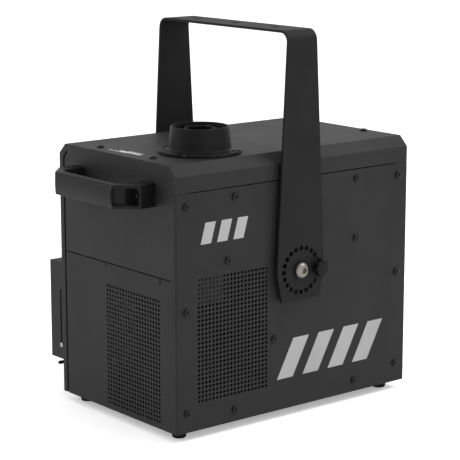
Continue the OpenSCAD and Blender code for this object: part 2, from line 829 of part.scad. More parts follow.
module sight_pin() {
    color(zinc) {
        screw_at([pin_x, box_y0, pin_z], [0, 0, -90], head_d = 6.4, head_h = 2.4, shank_l = 3.5);
    }
}

module drain_valve() {
    color(brass) difference() {
        union() {
            rod_z(box_z - 5, box_z + 12, 4, tap_x, tap_y + 14);
            rod_z(box_z - 2.5, box_z - 0.2, 7, tap_x, tap_y + 14);
        }
        rod_z(box_z - 6, box_z + 14, 1.6, tap_x, tap_y + 14);
    }
}

module drain_tap() {
    color(black) difference() {
        union() {
            rod_z(box_z - 11, box_z - 2.9, 6.5, tap_x, tap_y + 14);
            span([tap_x - 1.8, tap_y - 4, box_z - 10], [tap_x + 1.8, tap_y + 10, box_z - 6]);
        }
        rod_z(box_z - 8, box_z - 2, 4.06, tap_x, tap_y + 14);
    }
}

// ---- printed marks -------------------------------------------------------

module side_badge() {
    color(print_grey) plate_yz(half_w, half_w + 0.4)
        for (k = [0 : 2]) translate([-164 + k * 27, 247]) polygon([[0, 0], [17, 0], [25, 28], [8, 28]]);
}

module side_stripes() {
    color(print_grey) plate_yz(half_w, half_w + 0.4)
        for (k = [0 : 3]) translate([-34 + k * 46, 43])
            polygon([[0, 0], [28, 0], [57, 54], [29, 54]]);
}

module top_label() {
    color(print_grey) translate([0, 0, body_h]) linear_extrude(0.4)
        for (bar = [[-35, -187.5, 38, 0.9], [-18, -184, 45, 3.2], [-6, -177, 32, 0.9]])
            translate([bar[0], bar[1]]) square([bar[2], bar[3]]);
}

// ---- inside --------------------------------------------------------------

fan_z = 96;
fan_t = 32;
fan_w = 92;

// Metal box just behind the upper front corner of the side grille.
module relay_box() {
    color(zinc) difference() {
        span([108, -174, 166], [120, -118, 236]);
        span([110, -172, 168], [118, -120, 238]);
    }
}

module fan_housing() {
    color(black) translate([outlet_x, outlet_y, fan_z]) {
        difference() {
            translate([-fan_w / 2, -fan_w / 2, 0]) cube([fan_w, fan_w, fan_t]);
            translate([0, 0, -1]) cylinder(h = fan_t + 2, r = 43, $fn = 96);
            for (sx = [-1, 1], sy = [-1, 1])
                translate([sx * 41, sy * 41, -1]) cylinder(h = fan_t + 2, r = 2.2, $fn = 24);
        }
        difference() {
            union() {
                cylinder(h = 4, r = 20, $fn = 64);
                for (a = [45 : 90 : 315]) rotate([0, 0, a]) translate([15, -2.5, 0]) cube([30, 5, 4]);
                cylinder(h = 16, r = 3, $fn = 32);
            }
        }
    }
}

module fan_impeller() {
    color([0.13, 0.13, 0.14]) translate([outlet_x, outlet_y, fan_z + 5]) {
        difference() {
            cylinder(h = 24, r = 18, $fn = 64);
            translate([0, 0, -1]) cylinder(h = 14, r = 3.05, $fn = 32);
        }
        for (a = [0 : 360 / 7 : 359]) rotate([0, 0, a]) translate([16.5, -1, 2])
            rotate([38, 0, 0]) cube([24, 1.8, 22]);
    }
}

module fog_duct() {
    color(zinc) translate([outlet_x, outlet_y, 0]) difference() {
        union() {
            translate([0, 0, fan_z + fan_t]) cylinder(h = body_h - 2 - fan_z - fan_t, r = 44.5, $fn = 96);
            translate([-fan_w / 2, -fan_w / 2, fan_z + fan_t]) cube([fan_w, fan_w, 2]);
        }
        translate([0, 0, fan_z]) cylinder(h = body_h, r = 43, $fn = 96);
        rod_y(30, 60, 7, 0, 262);
        for (sx = [-1, 1], sy = [-1, 1])
            translate([sx * 41, sy * 41, fan_z]) cylinder(h = cut, r = 2.2, $fn = 24);
    }
}

heater_low = [-36, -12, 226];
heater_high = [76, 158, 290];

module heater_block() {
    color(zinc) difference() {
        span(heater_low + [8, 8, 8], heater_high - [8, 8, 8]);
        rod_y(heater_low[1], heater_low[1] + 60, 4.2, outlet_x, 262);
        rod_y(heater_high[1] - 60, heater_high[1], 3.2, -20, 250);
    }
}

// Folded steel cover around the heater, open at the rear for its pipes.
module heater_cover() {
    color([0.55, 0.55, 0.53]) difference() {
        span(heater_low, heater_high);
        span(heater_low + [2, 2, 2], heater_high - [2, -1, 2]);
        rod_y(heater_low[1] - 1, heater_low[1] + 3, 7, outlet_x, 262);
        for (k = [0 : 6]) span([heater_low[0] + 14 + k * 13, 20, heater_high[2] - 3],
            [heater_low[0] + 19 + k * 13, 126, heater_high[2] + 1]);
    }
}

// Two cross rails that carry the heater, fixed to the case at screw height.
module heater_rails() {
    color(zinc) for (y = [56, 108]) difference() {
        union() {
            span([-in_w + gap, y - 8, 212], [in_w - gap, y + 8, 214]);
            for (s = [-1, 1]) span([s > 0 ? in_w - gap - 2 : -in_w + gap, y - 8, 212],
                [s > 0 ? in_w - gap : -in_w + gap + 2, y + 8, 228]);
            for (x = [-22, 62]) span([x - 6, y - 6, 213], [x + 6, y + 6, 226]);
        }
        rod_x(-in_w - 1, in_w + 1, 2.6, 108, 220);
    }
}

module thermostat() {
    color(print_grey) {
        span([-26, 40, 290], [-2, 66, 293]);
        rod_z(293, 302, 8, -14, 53);
        span([20, 44, 290], [40, 62, 296]);
    }
}

nozzle_y = outlet_y + 32;
nozzle_z = 262;

module nozzle_pipe() {
    color(brass) difference() {
        union() {
            rod_y(nozzle_y, heater_low[1] + 38, 4, outlet_x, nozzle_z);
            rod_z(nozzle_z, nozzle_z + 24, 4, outlet_x, nozzle_y);
            translate([outlet_x, nozzle_y, nozzle_z]) sphere(r = 4, $fn = 32);
            translate([outlet_x, nozzle_y, nozzle_z + 24]) cylinder(h = 8, r1 = 6, r2 = 3, $fn = 40);
        }
        rod_z(nozzle_z + 8, nozzle_z + 34, 1.2, outlet_x, nozzle_y);
        rod_y(nozzle_y + 6, heater_low[1] + 40, 2, outlet_x, nozzle_z);
    }
}

pump_x = -40;
pump_y = 60;

module pump_body() {
    color([0.25, 0.25, 0.28]) difference() {
        union() {
            span([pump_x - 24, pump_y - 20, sheet], [pump_x + 24, pump_y + 20, 4]);
            span([pump_x - 20, pump_y - 18, 3], [pump_x + 20, pump_y + 18, 50]);
            rod_z(48, 92, 9, pump_x, pump_y);
            rod_z(60, 64, 13, pump_x, pump_y);
            rod_z(90, 100, 5, pump_x, pump_y);
            rod_y(pump_y - 30, pump_y - 14, 4.5, pump_x, 30);
        }
        rod_z(20, 84, 6, pump_x, pump_y);
        rod_z(82, 101, 2, pump_x, pump_y);
        rod_y(pump_y - 31, pump_y - 5, 2, pump_x, 30);
    }
}

module pump_plunger() {
    color(zinc) rod_z(30, 70, 5.94, pump_x, pump_y);
}

// Straight tube lengths joined by slightly larger ball elbows along a route.
module tube_route(points, r) {
    for (k = [0 : len(points) - 2]) {
        d = points[k + 1] - points[k];
        length = norm(d);
        yaw = atan2(d[1], d[0]);
        tilt = acos(d[2] / length);
        translate(points[k]) rotate([0, tilt, yaw]) cylinder(h = length, r = r, $fn = 24);
        if (k > 0) translate(points[k]) sphere(r = r * 1.1, $fn = 24);
    }
}

module suction_hose() {
    color(blank_white) tube_route([[-80, box_y1 - 16.2, box_z + 20], [-80, -30, box_z + 20],
        [-60, 0, 34], [pump_x, 14, 30], [pump_x, pump_y - 30.2, 30]], 3);
}

module feed_pipe() {
    color(brass) tube_route([[pump_x, pump_y, 100.2], [pump_x, pump_y, 130],
        [pump_x, 172, 130], [pump_x, 172, 250], [-20, 172, 250],
        [-20, heater_high[1] - 30, 250]], 3);
}

module control_board() {
    color([0.08, 0.30, 0.16]) {
        span([-108, 186, 96], [50, 187.6, 150]);
        for (k = [0 : 4]) span([-96 + k * 30, 174, 104], [-82 + k * 30, 186, 118]);
        for (x = [-100, 42]) rod_y(184, in_l - 0.2, 3, x, 146);
    }
}

module power_supply() {
    color(zinc) difference() {
        span([20, 60, sheet], [110, 150, 42]);
        span([22, 62, 4], [108, 148, 43]);
    }
    color([0.08, 0.30, 0.16]) {
        span([24, 64, 8], [106, 146, 9.6]);
        for (x = [36, 64, 92], y = [78, 106, 132]) rod_z(4, 34, 8, x, y);
    }
}

placed() chassis_base();
placed() inner_frame();
placed() side_front_shell();
placed() left_side_panel();
placed() top_cover();
placed() rear_panel();
placed() front_handle();
placed() rear_handle();
placed() handle_screws();
placed() case_screws();
placed() outlet_spigot();
placed() outlet_guard();
placed() outlet_screws();
placed() rubber_feet();
placed() foot_screws();
placed() pivot_plates();
placed() pivot_bushes();
placed() pivot_washers();
placed() pivot_bolts();
placed() yoke();
placed() right_lock_knob();
placed() right_lock_stud();
placed() left_lock_knob();
placed() left_lock_stud();
placed() tank_box();
placed() fluid_tank();
placed() filler_neck();
placed() filler_cap();
placed() sight_pin();
placed() drain_valve();
placed() drain_tap();
placed() side_badge();
placed() side_stripes();
placed() top_label();
placed() relay_box();
placed() fan_housing();
placed() fan_impeller();
placed() fog_duct();
placed() heater_block();
placed() heater_cover();
placed() heater_rails();
placed() thermostat();
placed() nozzle_pipe();
placed() pump_body();
placed() pump_plunger();
placed() suction_hose();
placed() feed_pipe();
placed() control_board();
placed() power_supply();
placed() display_module();
placed() menu_buttons_frame();
placed() menu_button(0);  // menu_button_1
placed() menu_button(1);  // menu_button_2
placed() menu_button(2);  // menu_button_3
placed() menu_button(3);  // menu_button_4
placed() power_switch();
placed() switch_rocker();
placed() power_inlet();
placed() signal_sockets();
placed() fuse_holder();
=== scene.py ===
# %% [markdown]
# # A stage fog machine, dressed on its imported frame
# The real machine is a folded sheet-steel box with a black, finely textured powder coat.
# Its handles, outlet, knobs and feet are moulded parts in black nylon and rubber.
# The frame already holds every piece at its true size, so this script only decides how
# each piece looks: it rounds the edges that light would catch, models the moulded parts
# with bmesh operators, and gives each finish its own procedural material.

# %% Load the frame
import math

import bmesh
import bpy
from mathutils import Matrix, Vector


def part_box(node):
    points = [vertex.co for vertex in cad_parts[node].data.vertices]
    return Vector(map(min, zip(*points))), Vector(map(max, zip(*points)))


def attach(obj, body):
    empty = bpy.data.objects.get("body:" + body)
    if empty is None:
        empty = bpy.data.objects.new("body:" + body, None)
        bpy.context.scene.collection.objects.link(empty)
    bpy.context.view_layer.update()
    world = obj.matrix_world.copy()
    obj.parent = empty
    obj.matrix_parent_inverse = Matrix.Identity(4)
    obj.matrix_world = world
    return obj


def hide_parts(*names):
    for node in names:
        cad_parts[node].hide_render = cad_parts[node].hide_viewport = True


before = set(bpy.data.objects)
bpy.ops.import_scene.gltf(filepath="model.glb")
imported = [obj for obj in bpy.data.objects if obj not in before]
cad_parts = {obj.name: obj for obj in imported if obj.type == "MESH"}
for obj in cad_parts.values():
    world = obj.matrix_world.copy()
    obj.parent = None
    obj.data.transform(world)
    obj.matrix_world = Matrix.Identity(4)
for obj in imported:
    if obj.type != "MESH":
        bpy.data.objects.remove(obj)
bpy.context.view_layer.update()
MM = 0.001

# %% [markdown]
# Every place below comes from the boxes of the frame's own nodes. The casing's faces are
# the ones used most, so they are measured once and given plain names.

# %% Measure the casing
shell_low, shell_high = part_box("side_front_shell")
cover_low, cover_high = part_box("top_cover")
right_x = shell_high.x
left_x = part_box("left_side_panel")[0].x
front_y = cover_low.y
rear_y = cover_high.y
top_z = cover_high.z
base_z = shell_low.z
middle_x = (left_x + right_x) / 2
casing_size = (right_x - left_x, rear_y - front_y, top_z - base_z)
print("casing mm:", [round(v / MM) for v in casing_size])


# %% [markdown]
# ## Helpers for making pieces
# A piece is a bmesh that becomes an object at the origin, rides on a body of the frame and
# takes its material. Faces are smooth and only edges sharper than a set angle stay
# sharp, which is how a real moulded or folded part shades.

# %% Make a piece from a bmesh
def finish_piece(name, bm, material, body, stands_for=(), sharp=35):
    for face in bm.faces:
        face.smooth = True
    for edge in bm.edges:
        edge.smooth = len(edge.link_faces) == 2 and edge.calc_face_angle(0) < math.radians(sharp)
    mesh = bpy.data.meshes.new(name)
    bm.to_mesh(mesh)
    bm.free()
    mesh.materials.append(material)
    piece = bpy.data.objects.new(name, mesh)
    bpy.context.collection.objects.link(piece)
    weighted = piece.modifiers.new("weighted_normals", "WEIGHTED_NORMAL")
    weighted.keep_sharp = True
    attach(piece, body)
    if stands_for:
        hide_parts(*stands_for)
    print(name, len(mesh.polygons), "faces")
    return piece


# %% [markdown]
# Three ways of starting a solid cover nearly everything here: a prism from a plan outline,
# a lathe turning from a half profile, and a rounded box. Each one starts from a few
# vertices and lets an operator do the rest.

# %% Solids: prism, turning, box and bar
def prism(points, low, high):
    bm = bmesh.new()
    ring = [bm.verts.new((x, y, low)) for x, y in points]
    face = bm.faces.new(ring)
    grown = bmesh.ops.extrude_face_region(bm, geom=[face])
    raised = [v for v in grown["geom"] if isinstance(v, bmesh.types.BMVert)]
    bmesh.ops.translate(bm, verts=raised, vec=(0, 0, high - low))
    bmesh.ops.recalc_face_normals(bm, faces=bm.faces)
    return bm


def turning(profile, steps=64):
    bm = bmesh.new()
    verts = [bm.verts.new((r, 0, z)) for r, z in profile]
    edges = [bm.edges.new(pair) for pair in zip(verts, verts[1:])]
    bmesh.ops.spin(bm, geom=verts + edges, cent=(0, 0, 0), axis=(0, 0, 1),
                   angle=2 * math.pi, steps=steps, use_merge=True)
    bmesh.ops.remove_doubles(bm, verts=bm.verts, dist=1e-6)
    bmesh.ops.recalc_face_normals(bm, faces=bm.faces)
    return bm


def block(size, at, width=0.0, segments=2):
    bm = bmesh.new()
    bmesh.ops.create_cube(bm, size=1)
    bmesh.ops.scale(bm, vec=size, verts=bm.verts)
    bmesh.ops.translate(bm, vec=at, verts=bm.verts)
    if width:
        soften(bm, width, segments)
    return bm


def rod(radius, length, steps=32):
    bm = bmesh.new()
    bmesh.ops.create_cone(bm, cap_ends=True, cap_tris=False, segments=steps,
                          radius1=radius, radius2=radius, depth=length)
    return bm


def soften(bm, width, segments=2, over=30, longer=0.0):
    edges = [e for e in bm.edges if len(e.link_faces) == 2
             and e.calc_face_angle(0) > math.radians(over) and e.calc_length() > longer]
    bmesh.ops.bevel(bm, geom=edges, offset=width, offset_type="OFFSET", segments=segments,
                    profile=0.5, affect="EDGES", clamp_overlap=True, material=-1)
    return bm


# %% [markdown]
# Joining, placing and cutting are the other moves. A cut uses the exact Boolean modifier on
# two scratch objects, because the operator set has no subtraction of its own. The scratch
# objects live in a scene of their own, so that a cut never waits for the whole machine.

# %% Join, place and cut
def add(bm, other):
    scratch = bpy.data.meshes.new("scratch")
    other.to_mesh(scratch)
    other.free()
    bm.from_mesh(scratch)
    bpy.data.meshes.remove(scratch)
    return bm


def place(bm, at=(0, 0, 0), turn=(0, 0, 0), scale=(1, 1, 1)):
    bmesh.ops.scale(bm, vec=scale, verts=bm.verts)
    matrix = Matrix.Translation(Vector(at))
    for axis, degrees in zip("XYZ", turn):
        matrix = matrix @ Matrix.Rotation(math.radians(degrees), 4, axis)
    bmesh.ops.transform(bm, matrix=matrix, verts=bm.verts)
    if scale[0] * scale[1] * scale[2] < 0:
        bmesh.ops.reverse_faces(bm, faces=bm.faces)
    return bm


workshop = bpy.data.scenes.new("workshop")


def cut(bm, tools, operation="DIFFERENCE"):
    made = []
    for source in (bm, tools):
        mesh = bpy.data.meshes.new("scratch")
        source.to_mesh(mesh)
        source.free()
        made.append(bpy.data.objects.new("scratch", mesh))
        workshop.collection.objects.link(made[-1])
    body, tool = made
    boolean = body.modifiers.new("cut", "BOOLEAN")
    boolean.operation = operation
    boolean.solver = "EXACT"
    boolean.object = tool
    result = bmesh.new()
    bench = workshop.view_layers[0]
    with bpy.context.temp_override(scene=workshop, view_layer=bench):
        result.from_object(body, bpy.context.evaluated_depsgraph_get())
    for scratch in made:
        mesh = scratch.data
        bpy.data.objects.remove(scratch)
        bpy.data.meshes.remove(mesh)
    bmesh.ops.remove_doubles(result, verts=result.verts, dist=5e-6)
    bmesh.ops.dissolve_limit(result, angle_limit=math.radians(1), verts=result.verts,
                             edges=result.edges, use_dissolve_boundaries=False)
    return result


# %% [markdown]
# A node of the frame arrives as loose triangles. For a folded sheet part a welded copy is
# taken, its flat areas are merged, and only its long folds get a small radius, so that the
# light draws a thin line along them. The hundreds of grille holes stay crisp.

# %% Copy a node and round its long edges
def welded(node):
    bm = bmesh.new()
    bm.from_mesh(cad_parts[node].data)
    bmesh.ops.remove_doubles(bm, verts=bm.verts, dist=1e-5)
    bmesh.ops.dissolve_limit(bm, angle_limit=math.radians(0.5), verts=bm.verts,
                             edges=bm.edges, use_dissolve_boundaries=False)
    return bm


def rounded_copy(node, material, body):
    bm = welded(node)
    soften(bm, 0.5 * MM, longer=12 * MM)
    return finish_piece(node + "_formed", bm, material, body, (node,))


# %% [markdown]
# ## Finishes
# A material is a Principled BSDF fed by small node groups. The groups hold the effects that
# several finishes share: the fine grain of a coating, the pale wear on edges, and the thin
# dust that settles on faces that look up.

# %% A short way to write node groups
def new_group(name, inputs, outputs):
    group = bpy.data.node_groups.new(name, "ShaderNodeTree")
    for label, kind, value in inputs:
        socket = group.interface.new_socket(label, in_out="INPUT", socket_type=kind)
        socket.default_value = value
    for label, kind in outputs:
        group.interface.new_socket(label, in_out="OUTPUT", socket_type=kind)
    return group, group.nodes.new("NodeGroupInput"), group.nodes.new("NodeGroupOutput")


def math_node(tree, operation, a, b=None, clamp=False):
    node = tree.nodes.new("ShaderNodeMath")
    node.operation = operation
    node.use_clamp = clamp
    for socket, value in zip(node.inputs, (a, b)):
        if value is None:
            continue
        if isinstance(value, (int, float)):
            socket.default_value = value
        else:
            tree.links.new(value, socket)
    return node.outputs[0]


def noise_node(tree, coordinate, scale, detail=3.0, roughness=0.6):
    node = tree.nodes.new("ShaderNodeTexNoise")
    tree.links.new(coordinate, node.inputs["Vector"])
    if isinstance(scale, (int, float)):
        node.inputs["Scale"].default_value = scale
    else:
        tree.links.new(scale, node.inputs["Scale"])
    node.inputs["Detail"].default_value = detail
    node.inputs["Roughness"].default_value = roughness
    return node.outputs["Fac"]


def ramp_node(tree, value, low, high):
    node = tree.nodes.new("ShaderNodeMapRange")
    node.interpolation_type = "SMOOTHSTEP"
    tree.links.new(value, node.inputs["Value"])
    node.inputs["From Min"].default_value = low
    node.inputs["From Max"].default_value = high
    return node.outputs["Result"]


FLOAT = "NodeSocketFloat"


# %% [markdown]
# Powder coat is sprayed on dry and melts into a skin of tiny rounded bumps about half a
# millimetre across. Two noises of different size give that skin, and the finer one also
# speckles the colour, because each bump catches its own spark of light.

# %% Group: coating grain
def make_grain():
    group, given, out = new_group(
        "coating_grain", [("Bumps per metre", FLOAT, 1400.0)],
        [("Height", FLOAT), ("Speckle", FLOAT), ("Clouds", FLOAT)])
    place_on = group.nodes.new("ShaderNodeTexCoord").outputs["Object"]
    fine = noise_node(group, place_on, given.outputs["Bumps per metre"], 2.0, 0.55)
    coarse_scale = math_node(group, "MULTIPLY", given.outputs["Bumps per metre"], 0.31)
    coarse = noise_node(group, place_on, coarse_scale, 2.0, 0.5)
    height = math_node(group, "ADD", fine, math_node(group, "MULTIPLY", coarse, 0.7))
    clouds = noise_node(group, place_on, 14.0, 4.0, 0.6)
    group.links.new(height, out.inputs["Height"])
    group.links.new(ramp_node(group, fine, 0.56, 0.72), out.inputs["Speckle"])
    group.links.new(clouds, out.inputs["Clouds"])
    return group


# %% [markdown]
# Wear shows where a corner rubs. The Bevel node gives the normal that a rounded corner
# would have, and where that differs from the true normal there is an edge. A noise breaks
# the line up, so that the wear comes and goes as it does on a machine that travels in vans.

# %% Group: worn edges
def make_wear():
    group, given, out = new_group(
        "worn_edges", [("Radius", FLOAT, 0.0012), ("Patchiness", FLOAT, 60.0)],
        [("Edge", FLOAT), ("Normal", "NodeSocketVector")])
    bevel = group.nodes.new("ShaderNodeBevel")
    bevel.samples = 4
    group.links.new(given.outputs["Radius"], bevel.inputs["Radius"])
    true_normal = group.nodes.new("ShaderNodeNewGeometry").outputs["Normal"]
    dot = group.nodes.new("ShaderNodeVectorMath")
    dot.operation = "DOT_PRODUCT"
    group.links.new(bevel.outputs["Normal"], dot.inputs[0])
    group.links.new(true_normal, dot.inputs[1])
    group.links.new(bevel.outputs["Normal"], out.inputs["Normal"])
    edge = ramp_node(group, math_node(group, "SUBTRACT", 1.0, dot.outputs["Value"]), 0.02, 0.22)
    place_on = group.nodes.new("ShaderNodeTexCoord").outputs["Object"]
    patches = ramp_node(group, noise_node(group, place_on, given.outputs["Patchiness"], 5.0, 0.7),
                        0.42, 0.62)
    group.links.new(math_node(group, "MULTIPLY", edge, patches, clamp=True), out.inputs["Edge"])
    return group


# %% [markdown]
# Dust only settles on faces that look up, and drifts into loose patches there. The mask is
# the upward part of the true normal, broken up by one wide noise and one very fine noise.

# %% Group: settled dust
def make_dust():
    group, given, out = new_group("settled_dust", [("Amount", FLOAT, 0.5)], [("Dust", FLOAT)])
    normal = group.nodes.new("ShaderNodeNewGeometry").outputs["Normal"]
    split = group.nodes.new("ShaderNodeSeparateXYZ")
    group.links.new(normal, split.inputs[0])
    facing_up = ramp_node(group, split.outputs["Z"], 0.5, 1.0)
    place_on = group.nodes.new("ShaderNodeTexCoord").outputs["Object"]
    drift = ramp_node(group, noise_node(group, place_on, 9.0, 6.0, 0.7), 0.3, 0.75)
    fine = noise_node(group, place_on, 700.0, 2.0, 0.8)
    amount = math_node(group, "MULTIPLY", math_node(group, "MULTIPLY", facing_up, drift), fine)
    group.links.new(math_node(group, "MULTIPLY", amount, given.outputs["Amount"]),
                    out.inputs["Dust"])
    return group


grain_group, wear_group, dust_group = make_grain(), make_wear(), make_dust()
print("groups:", [g.name for g in (grain_group, wear_group, dust_group)])


# %% [markdown]
# One function writes every opaque finish. It mixes the base colour towards a lighter speckle,
# a worn edge tone and dust, moves the roughness with the same masks, and bumps the surface
# with the grain. What differs between finishes is only the values handed in.

# %% Write a finish
DUST_COLOR = (0.22, 0.21, 0.20)


def mix_color(tree, mask, base, over):
    node = tree.nodes.new("ShaderNodeMix")
    node.data_type = "RGBA"
    tree.links.new(mask, node.inputs["Factor"])
    for socket, value in ((node.inputs["A"], base), (node.inputs["B"], over)):
        if isinstance(value, tuple):
            socket.default_value = (*value, 1)
        else:
            tree.links.new(value, socket)
    return node.outputs["Result"]


def use_group(tree, group, **values):
    node = tree.nodes.new("ShaderNodeGroup")
    node.node_tree = group
    for label, value in values.items():
        node.inputs[label.replace("_", " ")].default_value = value
    return node


def finish_of(name, color, rough, metal=0.0, bumps=1400.0, bump_depth=0.05, speckle=0.25,
              speckle_color=None, edge_color=None, edge_radius=0.0012, dust=0.3,
              specular=0.5, coat=0.0, patches=60.0):
    material = bpy.data.materials.new(name)
    material.use_nodes = True
    tree = material.node_tree
    shader = tree.nodes["Principled BSDF"]
    shader.inputs["Metallic"].default_value = metal
    shader.inputs["Specular IOR Level"].default_value = specular
    shader.inputs["Coat Weight"].default_value = coat
    grain = use_group(tree, grain_group, Bumps_per_metre=bumps)
    if speckle_color is None:
        speckle_color = tuple(min(1.0, c * 1.6 + 0.006) for c in color)
    speck = math_node(tree, "MULTIPLY", grain.outputs["Speckle"], speckle)
    shade = mix_color(tree, speck, color, speckle_color)
    darker = tuple(c * 0.82 for c in color)
    cloud = math_node(tree, "MULTIPLY", ramp_node(tree, grain.outputs["Clouds"], 0.45, 0.7), 0.5)
    shade = mix_color(tree, cloud, shade, darker)
    uneven = math_node(tree, "MULTIPLY", grain.outputs["Clouds"], 0.12)
    roughness = math_node(tree, "ADD", rough, uneven)
    bump = tree.nodes.new("ShaderNodeBump")
    if edge_color is not None:
        wear = use_group(tree, wear_group, Radius=edge_radius, Patchiness=patches)
        shade = mix_color(tree, wear.outputs["Edge"], shade, edge_color)
        tree.links.new(wear.outputs["Normal"], bump.inputs["Normal"])
        roughness = math_node(tree, "SUBTRACT", roughness,
                              math_node(tree, "MULTIPLY", wear.outputs["Edge"], 0.15), clamp=True)
    if dust:
        dusty = use_group(tree, dust_group, Amount=dust)
        shade = mix_color(tree, dusty.outputs["Dust"], shade, DUST_COLOR)
    tree.links.new(shade, shader.inputs["Base Color"])
    tree.links.new(roughness, shader.inputs["Roughness"])
    bump.inputs["Strength"].default_value = 1.0
    bump.inputs["Distance"].default_value = bump_depth * MM
    tree.links.new(grain.outputs["Height"], bump.inputs["Height"])
    tree.links.new(bump.outputs["Normal"], shader.inputs["Normal"])
    return material


# %% [markdown]
# The black parts differ only a little from each other, as the mouldings and screws do on the
# machine. The powder coat is grainy and dull, and a coarser grain shows on the cover, where the
# light grazes it; the cover's copy also has a lighter speckle, a painted sparkle, and the yoke's
# copy has a darker colour, a painted shade. The mouldings are darker and smoother, and the
# screws are darker still. The backing behind the grilles is almost black, a painted shade, so
# that the grille holes read as holes.

# %% The finishes of this machine
powder = finish_of("powder_coat", (0.0105, 0.0105, 0.0107), 0.52, bumps=1050, bump_depth=0.08,
                   speckle=0.55, speckle_color=(0.030, 0.030, 0.030), specular=0.17,
                   edge_color=(0.026, 0.026, 0.027), dust=0.06)
# A copy of the powder coat for the cover: coarser real grain, and a lighter speckle colour that
# is painted sparkle where the light grazes the cover.
cover_painted_sparkle = finish_of("cover_coat_painted_sparkle", (0.0105, 0.0105, 0.0107), 0.50, bumps=700,
                         bump_depth=0.16, speckle=0.6, speckle_color=(0.038, 0.038, 0.038),
                         specular=0.17, edge_color=(0.026, 0.026, 0.027), dust=0.06)
# A darker copy of the powder coat for the yoke: its darker colour is painted shade on the bar.
yoke_shaded_powder = finish_of("yoke_coat_painted_shade", (0.0085, 0.0085, 0.0087), 0.50, bumps=1050,
                        bump_depth=0.05, speckle=0.45, speckle_color=(0.022, 0.022, 0.022),
                        specular=0.09, edge_color=(0.026, 0.026, 0.026), dust=0.04)
nylon = finish_of("moulded_nylon", (0.0028, 0.0028, 0.0030), 0.42, bumps=2600, bump_depth=0.03,
                  speckle=0.3, edge_color=(0.008, 0.008, 0.009), specular=0.12, dust=0.05)
handle_nylon = finish_of("handle_nylon", (0.0040, 0.0040, 0.0042), 0.38, bumps=2200,
                         bump_depth=0.04, speckle=0.35, edge_color=(0.014, 0.014, 0.015),
                         specular=0.14, dust=0.05)
rubber = finish_of("foot_rubber", (0.005, 0.005, 0.005), 0.75, bumps=900, bump_depth=0.08,
                   speckle=0.2, specular=0.15, dust=0.2)
screw_black = finish_of("blackened_steel", (0.0025, 0.0025, 0.0026), 0.28, bumps=3000,
                        bump_depth=0.01, speckle=0.2, edge_color=(0.016, 0.016, 0.016),
                        edge_radius=0.0004, patches=300, specular=0.20, dust=0.0)
bright_bolt = finish_of("bright_bolt_steel", (0.21, 0.20, 0.18), 0.36, metal=0.95, bumps=900,
                        bump_depth=0.03, speckle=0.3, speckle_color=(0.17, 0.165, 0.15),
                        edge_color=(0.34, 0.33, 0.30), dust=0.0)
zinc = finish_of("zinc_plate", (0.42, 0.42, 0.41), 0.36, metal=0.9, bumps=300, bump_depth=0.02,
                 speckle=0.5, speckle_color=(0.55, 0.55, 0.53), dust=0.1)
aluminium = finish_of("cast_aluminium_skin", (0.50, 0.50, 0.51), 0.5, metal=0.9, bumps=700,
                      bump_depth=0.2, speckle=0.4, dust=0.1)
brass = finish_of("turned_brass", (0.55, 0.40, 0.16), 0.30, metal=0.95, bumps=900,
                  bump_depth=0.02, dust=0.1)
label_ink = finish_of("label_ink", (0.66, 0.66, 0.66), 0.5, bumps=1500, bump_depth=0.02,
                      speckle=0.3, dust=0.05)
# A much darker copy of the zinc plate: painted shade on the relay box inside the casing.
zinc_in_painted_shade = finish_of("zinc_in_painted_shade", (0.055, 0.055, 0.055), 0.5, bumps=300, bump_depth=0.02,
                      speckle=0.4, dust=0.2)
print_ink = finish_of("grey_ink", (0.27, 0.27, 0.27), 0.55, bumps=1500, bump_depth=0.06,
                      speckle=0.5, speckle_color=(0.25, 0.25, 0.25), specular=0.3, dust=0.1)
board = finish_of("board_lacquer", (0.015, 0.10, 0.04), 0.30, bumps=400, bump_depth=0.05)
phenolic = finish_of("grey_phenolic", (0.30, 0.30, 0.28), 0.5, bumps=900)
button_skin = finish_of("button_rubber", (0.24, 0.24, 0.25), 0.6, bumps=1800, dust=0.1)
tank_skin = finish_of("natural_polyethylene", (0.66, 0.68, 0.67), 0.45, bumps=500,
                      bump_depth=0.06, speckle=0.2, dust=0.1)
rocker_red = finish_of("rocker_plastic", (0.30, 0.012, 0.010), 0.22, bumps=500,
                       bump_depth=0.01, speckle=0.1, coat=0.4, dust=0.1)
glass = finish_of("display_window", (0.010, 0.012, 0.012), 0.08, bumps=200, bump_depth=0.0,
                  speckle=0.0, coat=0.6, dust=0.1)
# Near-black backing: painted shade that stands for the dark inside of the casing behind the
# grilles.
shade_backing = finish_of("painted_shade_backing", (0.0008, 0.0008, 0.0008), 0.9, bumps=350, bump_depth=0.9,
                 speckle=0.4, specular=0.03, dust=0.0)
print("finishes:", len(bpy.data.materials))


# %% [markdown]
# ## Carried-over nodes
# Most pieces inside the casing, and small turned parts, already have their true shape. They
# keep it and only get a finish. The nodes that finer pieces replace further down need none.

# %% Dress the nodes that keep their shape
def dress(material, *nodes):
    for node in nodes:
        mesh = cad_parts[node].data
        mesh.materials.clear()
        mesh.materials.append(material)
    return len(nodes)


